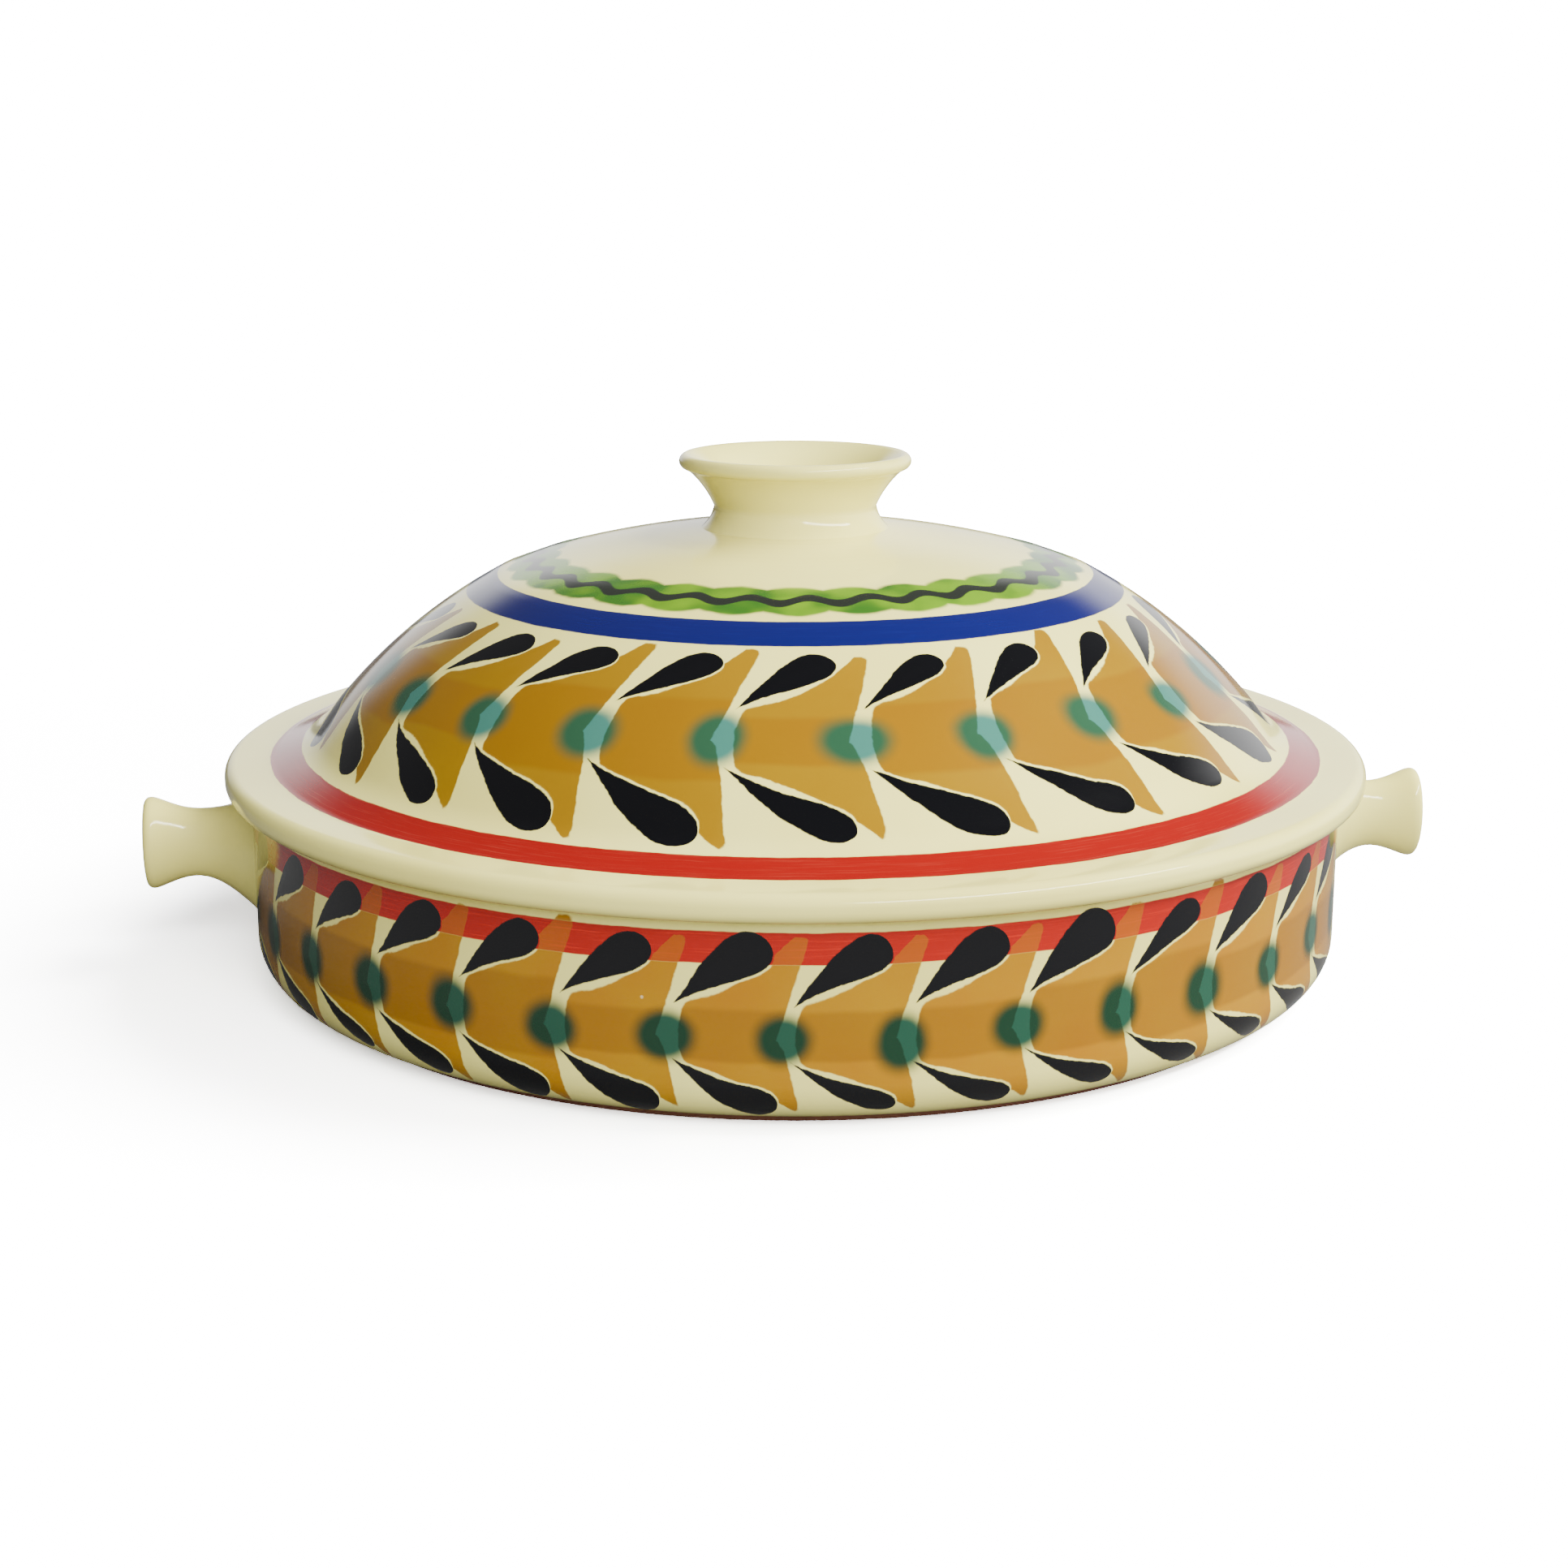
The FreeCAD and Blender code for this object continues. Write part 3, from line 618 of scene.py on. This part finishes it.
def coat(surface, sums, skin, painted, speck):
    """Gives a glaze its colour, with the pinholes over it."""
    sums.feed(surface.inputs["Base Color"], sums.mix(skin["Specks"] * SPECK_SHARE, painted, paints()[speck]))


def plain_glaze():
    """Ivory glaze with nothing painted on it."""
    material, sums, surface, _, skin = new_glaze("ivory glaze")
    coat(surface, sums, skin, ground(sums, skin), "speck")
    return material


def lay_band(sums, under, colours, ring, band, streak, most, least=0.0):
    """Paints a brushed band over a colour. Its streaks show from least to least and most together."""
    brushed = sums.use(shared("brushed band", band_group), **ring, **BANDS[band])
    paint = colours["blue" if band == "lid blue" else "red"]
    painted = sums.mix(brushed["Streaks"] * most + least, paint, colours[streak])
    return sums.mix(brushed["Band"], under, painted), brushed["Band"]


def lay_garland(sums, under, marks, colours, side):
    """Paints the lid's or the wall's garland over a colour: leaf, dabs, then the dark strokes."""
    leaf_colour = sums.mix(marks["Wash"], colours[side + "_leaf"], colours[side + "_leaf_thick"])
    leaf_colour = sums.mix(marks["Overlap"] * LAP_SHARE, leaf_colour, colours["amber"])
    painted = sums.mix(marks["Leaf"], under, leaf_colour)
    dab_colour = sums.mix(marks["Leaf"], colours[side + "_dab"], colours[side + "_dab_over"])
    painted = sums.mix(marks["Dab"], painted, dab_colour)
    return sums.mix(marks["Stroke"], painted, colours["black"])


def lid_paint():
    """Red, blue and scalloped green bands, and a garland round the dome's flank."""
    material, sums, surface, place, skin = new_glaze("painted lid")
    colours, chosen = paints(), bpy.context.scene.warmer_paint
    where = sums.use(shared("round the axis", place_group), Place=place)
    turns, out = where["Turns"], where["Out"]
    ring = {"Place": place, "Turns": turns, "At": out}
    painted = ground(sums, skin)
    painted, _ = lay_band(sums, painted, colours, ring, "lid red", "lid_red_streak", 0.45)
    painted, _ = lay_band(sums, painted, colours, ring, "lid blue", "blue_streak", 0.3)
    wave = sums.math("SINE", turns * (math.tau * chosen.waves) + sums.cloud(place, 30.0) * 2.0)
    scallop = abs(sums.math("SINE", turns * (math.pi * chosen.waves) + sums.cloud(place, 25.0) * 1.5))
    inner = sums.edge(out + scallop * SCALLOP + sums.cloud(place, 120.0) * 2.0, *LIME_INNER)
    outer = sums.edge(out - scallop * SCALLOP + sums.cloud(place, 120.0) * 2.0, *LIME_OUTER, 1.0, 0.0)
    patches = sums.edge(sums.cloud(place, 55.0, 2.0), -0.06, 0.12)
    lime = sums.mix(patches, colours["lime"], colours["lime_thick"])
    painted = sums.mix(inner * outer, painted, lime)
    line_off = abs(out - WAVE_AT - wave * WAVE_SWING + sums.cloud(place, 90.0) * 0.8)
    painted = sums.mix(sums.edge(line_off, *WAVE_EDGE, 1.0, 0.0), painted, colours["slate"])
    repeats = float(chosen.lid_repeats)
    marks = sums.use(
        shared("leaf garland", garland_group), Place=place, Along=turns * repeats - LID_BACK,
        Above=(LID_LINE - out) * LID_SLANT, Repeat=out * (math.tau / repeats), **LID_GARLAND,
    )
    coat(surface, sums, skin, lay_garland(sums, painted, marks, colours, "lid"), "paint_speck")
    return material


def wall_paint():
    """A red stripe under the rim and a closer garland, left bare round the handles' roots."""
    material, sums, surface, place, skin = new_glaze("painted wall")
    colours, chosen = paints(), bpy.context.scene.warmer_paint
    where = sums.use(shared("round the axis", place_group), Place=place)
    turns, up = where["Turns"], where["Up"]
    ring = {"Place": place, "Turns": turns, "At": up}
    painted = ground(sums, skin)
    painted, red = lay_band(sums, painted, colours, ring, "wall red", "wall_red_streak", 0.6, 0.4)
    repeats = float(chosen.wall_repeats)
    marks = sums.use(
        shared("leaf garland", garland_group), Place=place,
        Along=turns * repeats + WALL_TURN / 360.0 * repeats, Above=up - WALL_LINE,
        Repeat=DISH_HIGH[0] / MM * math.tau / repeats, **WALL_GARLAND,
    )
    across, above = sums.split(place)[1] * 1000.0, (up - BARE_LEVEL) * BARE_TALL
    away = sums.math("SQRT", across * across + above * above) + sums.cloud(place, 90.0) * BARE_WAVER
    bare = sums.edge(away, *BARE_EDGE)
    for mark in ("Leaf", "Stroke", "Dab"):
        marks[mark] = marks[mark] * bare
    marks["Leaf"] = marks["Leaf"] * (1.0 - red * marks["Leaf"] * LEAF_OVER_RED)
    coat(surface, sums, skin, lay_garland(sums, painted, marks, colours, "wall"), "paint_speck")
    return material


def bare_clay():
    """Wiped, matt clay with a little grain."""
    material = bpy.data.materials.new("bare clay")
    material.use_nodes = True
    tree = material.node_tree
    surface = tree.nodes["Principled BSDF"]
    sums = Sums(tree)
    place = Term(sums, sums.node("ShaderNodeTexCoord").outputs["Object"])
    grain = sums.cloud(place, 700.0, 3.0) + 0.5
    clay = paints()["clay"]
    pale = (clay[0] * 1.5, clay[1] * 1.5, clay[2] * 1.45, 1.0)
    sums.feed(surface.inputs["Base Color"], sums.mix(grain, clay, pale))
    sums.feed(surface.inputs["Roughness"], grain * 0.15 + 0.72)
    bump = sums.node("ShaderNodeBump")
    bump.inputs["Strength"].default_value = 0.5
    bump.inputs["Distance"].default_value = 0.15 * MM
    sums.feed(bump.inputs["Height"], grain)
    tree.links.new(bump.outputs["Normal"], surface.inputs["Normal"])
    return material


def finish(name, make):
    """The material of that name, made on first use."""
    return bpy.data.materials.get(name) or make()


# The pieces


class WARMER_OT_dish(bpy.types.Operator):
    """Turn the dish, with its rounded heel and well"""

    bl_idname = "warmer.dish"
    bl_label = "Dish"

    def execute(self, context):
        s = context.scene.warmer_dish
        inner, floor = s.radius - s.wall, s.base + s.floor
        points = soften(
            [
                (0, s.base), (s.radius, s.base, s.heel), (s.radius, s.height, s.rim),
                (inner, s.height, s.rim), (inner, floor, s.well), (0, floor),
            ],
            steps=10,
        )
        dish = turned("dish_bowl", divide(points, longest=4 * MM))
        on_wall = s.radius - s.heel
        glaze(
            dish, finish("ivory glaze", plain_glaze), finish("painted wall", wall_paint),
            lambda at, normal: normal.x * at.x + normal.y * at.y > 0 and Vector(at[:2]).length > on_wall,
        )
        settle(dish, "dish", "dish")
        return {"FINISHED"}


class WARMER_OT_foot_ring(bpy.types.Operator):
    """Turn the bare ring that the dish stands on"""

    bl_idname = "warmer.foot_ring"
    bl_label = "Foot ring"

    def execute(self, context):
        s = context.scene.warmer_dish
        inner, worn = s.foot_radius - s.foot_width, 0.8 * MM
        corners = [(s.foot_radius, s.base), (inner, s.base), (inner, 0, worn), (s.foot_radius, 0, worn)]
        points = soften(corners, steps=4)
        points.append(points[0])
        ring = turned("dish_foot", divide(points, longest=3 * MM))
        glaze(ring, finish("bare clay", bare_clay))
        settle(ring, "dish", "foot_ring")
        return {"FINISHED"}


HANDLE_STATIONS = (
    # (out from the wall, wide, tall, how far below the handle's middle), all in mm
    (-5.0, 30.0, 34.0, 2.6), (-1.0, 26.5, 31.0, 2.6), (0.6, 23.6, 28.6, 2.6), (2.0, 21.2, 26.2, 2.4),
    (4.0, 18.4, 23.4, 2.0), (7.0, 14.6, 20.0, 1.2), (11.0, 11.4, 17.2, 0.3), (15.0, 11.0, 16.6, 0.0),
    (18.5, 12.2, 18.2, 0.0), (21.5, 14.0, 20.6, 0.0), (23.8, 15.7, 22.5, 0.0), (25.2, 16.0, 22.8, 0.0),
    (26.2, 14.8, 21.6, 0.0), (26.5, 12.0, 18.8, 0.0),
)
HANDLE_INSETS = (2.0, 2.2)  # rings inside the handle's end, in mm


class WARMER_OT_handles(bpy.types.Operator):
    """Pull one lug handle out of the wall, then set its copy on the other side"""

    bl_idname = "warmer.handles"
    bl_label = "Handles"

    def execute(self, context):
        s = context.scene.warmer_dish
        lay_down()
        out, wide, tall, drop = HANDLE_STATIONS[0]
        place = (s.radius + out * MM, 0, s.handle_level - drop * MM)
        bpy.ops.mesh.primitive_circle_add(
            vertices=32, radius=1, fill_type="NGON", location=place, rotation=(0, math.pi / 2, 0)
        )
        handle = context.object
        handle.name = handle.data.name = "handle_right_lug"
        bpy.ops.object.transform_apply(location=True, rotation=True, scale=True)
        bpy.ops.object.mode_set(mode="EDIT")
        bpy.ops.mesh.select_all(action="SELECT")
        bpy.ops.transform.resize(value=(1, wide * MM / 2, tall * MM / 2), center_override=place)
        for before, after in zip(HANDLE_STATIONS, HANDLE_STATIONS[1:]):
            step = ((after[0] - before[0]) * MM, 0, (before[3] - after[3]) * MM)
            bpy.ops.mesh.extrude_region_move(TRANSFORM_OT_translate={"value": step})
            place = tuple(a + b for a, b in zip(place, step))
            grow = (1, after[1] / before[1], after[2] / before[2])
            bpy.ops.transform.resize(value=grow, center_override=place)
        for inset in HANDLE_INSETS:
            bpy.ops.mesh.inset(thickness=inset * MM)
        bpy.ops.mesh.select_all(action="SELECT")
        bpy.ops.mesh.normals_make_consistent(inside=False)
        bpy.ops.object.mode_set(mode="OBJECT")
        rounder = handle.modifiers.new("round", "SUBSURF")
        rounder.levels = rounder.render_levels = 2
        bpy.ops.object.modifier_apply(modifier="round")
        bpy.ops.object.shade_smooth()
        glaze(handle, finish("ivory glaze", plain_glaze))
        settle(handle, "dish", "handle_right")
        lay_down()
        handle.select_set(True)
        context.view_layer.objects.active = handle
        bpy.ops.object.duplicate()
        other = context.object
        other.name = other.data.name = "handle_left_lug"
        bpy.ops.object.mode_set(mode="EDIT")
        bpy.ops.mesh.select_all(action="SELECT")
        bpy.ops.transform.resize(value=(-1, 1, 1), center_override=(0, 0, 0))
        bpy.ops.mesh.normals_make_consistent(inside=False)
        bpy.ops.object.mode_set(mode="OBJECT")
        settle(other, "dish", "handle_left")
        return {"FINISHED"}


def dome(s, inside=0.0):
    """Middle and radius of the flank's round and of the crown's, and where they cross."""
    flank, crown = (s.flank_out, s.base - s.flank_drop), (0.0, s.top - s.crown)
    low, high = s.flank - inside, s.crown - inside
    away = Vector((flank[0] - crown[0], flank[1] - crown[1]))
    along = (high**2 - low**2 + away.length**2) / (2 * away.length)
    aside = math.sqrt(high**2 - along**2)
    unit = away.normalized()
    cross = Vector(crown) + unit * along + Vector((unit.y, -unit.x)) * aside
    return flank, low, crown, high, cross


def angle_to(centre, point):
    return math.degrees(math.atan2(point[1] - centre[1], point[0] - centre[0]))


class WARMER_OT_lid(bpy.types.Operator):
    """Turn the lid: crown, flank, cove and brim"""

    bl_idname = "warmer.lid"
    bl_label = "Lid"

    def execute(self, context):
        s = context.scene.warmer_lid
        flank, low, crown, high, cross = dome(s)
        foot = (s.dome_foot, flank[1] + math.sqrt(low**2 - (s.dome_foot - flank[0]) ** 2))
        # Two steps are left out on each side of the shoulder, which rounds it, and six for the cove
        top = bend(crown, high, 90, angle_to(crown, cross), steps=24)[:-2]
        side = bend(flank, low, angle_to(flank, cross), angle_to(flank, foot), steps=40)[2:-6]
        rim = s.base + s.brim
        flank, low, crown, high, cross = dome(s, s.wall)
        under_foot = (flank[0] + math.sqrt(low**2 - (s.base - flank[1]) ** 2), s.base)
        under = bend(flank, low, angle_to(flank, under_foot), angle_to(flank, cross), steps=40)
        under += bend(crown, high, angle_to(crown, cross), 90, steps=24)[1:]
        brim = [
            (*foot, s.cove), (s.brim_flat, rim, 8 * MM), (s.radius, rim, s.brim_round),
            (s.radius, s.base, s.brim_round), under_foot,
        ]
        ends = soften([side[-1], *brim], steps=9)
        points = top + side[:-1] + ends + under[1:]
        lid = turned("lid_dome", divide(points, longest=4 * MM))
        glaze(
            lid, finish("ivory glaze", plain_glaze), finish("painted lid", lid_paint),
            lambda at, normal: normal.z > 0.05,
        )
        settle(lid, "lid", "lid")
        return {"FINISHED"}


class WARMER_OT_seat_ring(bpy.types.Operator):
    """Turn the ring under the lid that drops inside the dish's rim"""

    bl_idname = "warmer.seat_ring"
    bl_label = "Seat ring"

    def execute(self, context):
        s = context.scene.warmer_lid
        inner, soft = s.seat_radius - s.seat_width, 1.5 * MM
        outer, low = s.seat_radius, s.seat_low
        points = soften([(inner, s.base), (inner, low, soft), (outer, low, soft), (outer, s.base)], steps=6)
        points.append(points[0])
        ring = turned("lid_seat", divide(points, longest=3 * MM))
        glaze(ring, finish("ivory glaze", plain_glaze))
        settle(ring, "lid", "lid_seat_ring")
        return {"FINISHED"}


def bulge(start, end, radius, side, steps):
    """Points along a round of that radius between two points. side is +1 if its middle lies to the left."""
    start, end = Vector(start), Vector(end)
    way = end - start
    aside = side * math.sqrt(radius**2 - (way.length / 2) ** 2) / way.length
    centre = (start + end) / 2 + Vector((-way.y, way.x)) * aside
    first, last = angle_to(centre, start), angle_to(centre, end)
    sweep = (last - first + 180) % 360 - 180
    return bend(centre, radius, first, first + sweep, steps)


class WARMER_OT_knob(bpy.types.Operator):
    """Turn the hollow knob, standing on the crown"""

    bl_idname = "warmer.knob"
    bl_label = "Knob"

    def execute(self, context):
        s = context.scene.warmer_lid
        bore, half = s.knob_neck - s.knob_wall, s.knob_bead / 2
        crown = (0.0, s.top - s.crown)

        def on_crown(out):
            return (out, crown[1] + math.sqrt(s.crown**2 - out**2))

        neck_z, lip = s.top + 4.2 * MM, s.knob_radius - half
        points = [on_crown(bore), on_crown((bore + s.knob_foot) / 2)]
        points += bulge(on_crown(s.knob_foot), (s.knob_neck, neck_z), 9 * MM, -1, steps=8)
        points += bulge((s.knob_neck, neck_z), (lip, s.knob_top - 2 * half), 24 * MM, -1, steps=14)[1:]
        points += bend((lip, s.knob_top - half), half, -90, 90, steps=10)[1:]
        points += bulge((lip, s.knob_top), (bore, neck_z), 21 * MM, 1, steps=14)[1:]
        points.append(points[0])
        knob = turned("lid_grip", divide(points, longest=2 * MM), steps=128)
        glaze(knob, finish("ivory glaze", plain_glaze))
        settle(knob, "lid", "lid_knob")
        return {"FINISHED"}


BACKDROP = 16.0  # the white that the camera sees beyond the floor
FLOOR_WHITE, FLOOR_GREY = 6.0, 0.14  # the floor to the camera, and to the piece
FLOOR_FADE = (0.2, 1.2)  # metres from the axis over which the floor turns into the backdrop
ROOM, GLOW, GLOW_RIGHT = 0.17, 1.9, 1.1  # the dim room, and the bright wall behind and to the right
GLOW_ASIDE, GLOW_HIGH = (0.20, 0.80), (0.26, 0.50)
LAMPS = (
    # name, place, size, watts and whether the glaze shows it
    ("key", (1.50, 0.10, 1.60), (1.6, 1.6), 132.0, False),
    ("fill", (0.20, -1.90, 0.85), (1.4, 1.4), 62.0, False),
    ("strip", (1.10, -1.15, 1.30), (2.4, 0.15), 52.0, True),
)
LAMP_AIM = Vector((0, 0, 0.05))


def white_paper():
    """Floor paper that shows as bright white to the camera and sends little light back to the piece."""
    paper = bpy.data.materials.new("white paper")
    paper.use_nodes = True
    tree = paper.node_tree
    tree.nodes.remove(tree.nodes["Principled BSDF"])
    sums = Sums(tree)
    seen = sums.node("ShaderNodeLightPath").outputs["Is Camera Ray"]
    blend = sums.node("ShaderNodeMixShader")
    tree.links.new(seen, blend.inputs[0])
    matts = []
    for shade in (FLOOR_GREY, FLOOR_WHITE):
        matt = sums.node("ShaderNodeBsdfDiffuse")
        matt.inputs["Color"].default_value = (shade, shade, shade, 1)
        matts.append(matt.outputs[0])
    place = Term(sums, sums.node("ShaderNodeTexCoord").outputs["Object"])
    x, y, _ = sums.split(place)
    away = sums.node("ShaderNodeEmission")
    beyond = sums.edge(sums.math("SQRT", x * x + y * y), *FLOOR_FADE, 0.0, BACKDROP)
    sums.feed(away.inputs["Strength"], beyond)
    white = sums.node("ShaderNodeAddShader")
    tree.links.new(matts[1], white.inputs[0])
    tree.links.new(away.outputs[0], white.inputs[1])
    tree.links.new(matts[0], blend.inputs[1])
    tree.links.new(white.outputs[0], blend.inputs[2])
    tree.links.new(blend.outputs[0], tree.nodes["Material Output"].inputs["Surface"])
    return paper


def studio_sky():
    """White to the eye. The piece itself is lit by a dim room with a bright wall behind."""
    world = bpy.data.worlds.new("studio")
    world.use_nodes = True
    tree = world.node_tree
    sums = Sums(tree)
    ahead = Term(sums, sums.node("ShaderNodeTexCoord").outputs["Generated"])
    x, y, z = sums.split(ahead)
    glow = sums.edge(y + x * GLOW_RIGHT, *GLOW_ASIDE) * sums.edge(z, *GLOW_HIGH, 1.0, 0.0) * GLOW + ROOM
    seen = Term(sums, sums.node("ShaderNodeLightPath").outputs["Is Camera Ray"])
    sky = tree.nodes["Background"]
    sky.inputs["Color"].default_value = (1, 1, 1, 1)
    sums.feed(sky.inputs["Strength"], glow + seen * BACKDROP)
    return world


class WARMER_OT_stage(bpy.types.Operator):
    """Set the camera, a pale floor and soft studio light"""

    bl_idname = "warmer.stage"
    bl_label = "Stage"

    def execute(self, context):
        s = context.scene.warmer_stage
        camera = bpy.data.cameras.new("camera")
        camera.lens, camera.sensor_width, camera.clip_start = s.lens, 36.0, 0.02
        stand = bpy.data.objects.new("camera", camera)
        context.scene.collection.objects.link(stand)
        turn, tilt = math.radians(s.turn), math.radians(s.tilt)
        ahead = Vector((math.sin(turn) * math.cos(tilt), math.cos(turn) * math.cos(tilt), -math.sin(tilt)))
        stand.location = s.place
        stand.rotation_euler = ahead.to_track_quat("-Z", "Y").to_euler()
        context.scene.camera = stand
        lay_down()
        bpy.ops.mesh.primitive_circle_add(vertices=96, radius=9.0, fill_type="TRIFAN", location=(0, 0, 0))
        floor = context.object
        floor.name = floor.data.name = "floor"
        floor.data.materials.append(white_paper())
        context.scene.world = studio_sky()
        for name, place, size, power, shiny in LAMPS:
            lamp = bpy.data.lights.new(name, "AREA")
            lamp.shape, lamp.size, lamp.size_y, lamp.energy = "RECTANGLE", size[0], size[1], power
            light = bpy.data.objects.new(name, lamp)
            context.scene.collection.objects.link(light)
            light.visible_glossy = shiny
            light.location = place
            light.rotation_euler = (LAMP_AIM - Vector(place)).to_track_quat("-Z", "Y").to_euler()
        return {"FINISHED"}


class WARMER_PT_panel(bpy.types.Panel):
    """Buttons for each piece of the warmer"""

    bl_label = "Tortilla Warmer"
    bl_idname = "WARMER_PT_panel"
    bl_space_type = "VIEW_3D"
    bl_region_type = "UI"
    bl_category = "Warmer"

    def draw(self, context):
        for step in STEPS:
            self.layout.operator(step.bl_idname)


STEPS = (
    WARMER_OT_stage, WARMER_OT_dish, WARMER_OT_foot_ring, WARMER_OT_handles, WARMER_OT_lid,
    WARMER_OT_seat_ring, WARMER_OT_knob,
)
GROUPS = (
    ("warmer_dish", WarmerDish), ("warmer_lid", WarmerLid), ("warmer_paint", WarmerPaint),
    ("warmer_stage", WarmerStage),
)


def register():
    for name, kind in GROUPS:
        bpy.utils.register_class(kind)
        setattr(bpy.types.Scene, name, PointerProperty(type=kind))
    for kind in (*STEPS, WARMER_PT_panel):
        bpy.utils.register_class(kind)


def unregister():
    for kind in (WARMER_PT_panel, *reversed(STEPS)):
        bpy.utils.unregister_class(kind)
    for name, kind in reversed(GROUPS):
        delattr(bpy.types.Scene, name)
        bpy.utils.unregister_class(kind)


def main():
    register()
    bpy.ops.warmer.stage()
    bpy.ops.warmer.dish()
    bpy.ops.warmer.foot_ring()
    bpy.ops.warmer.handles()
    bpy.ops.warmer.lid()
    bpy.ops.warmer.seat_ring()
    bpy.ops.warmer.knob()


if __name__ == "__main__":
    main()
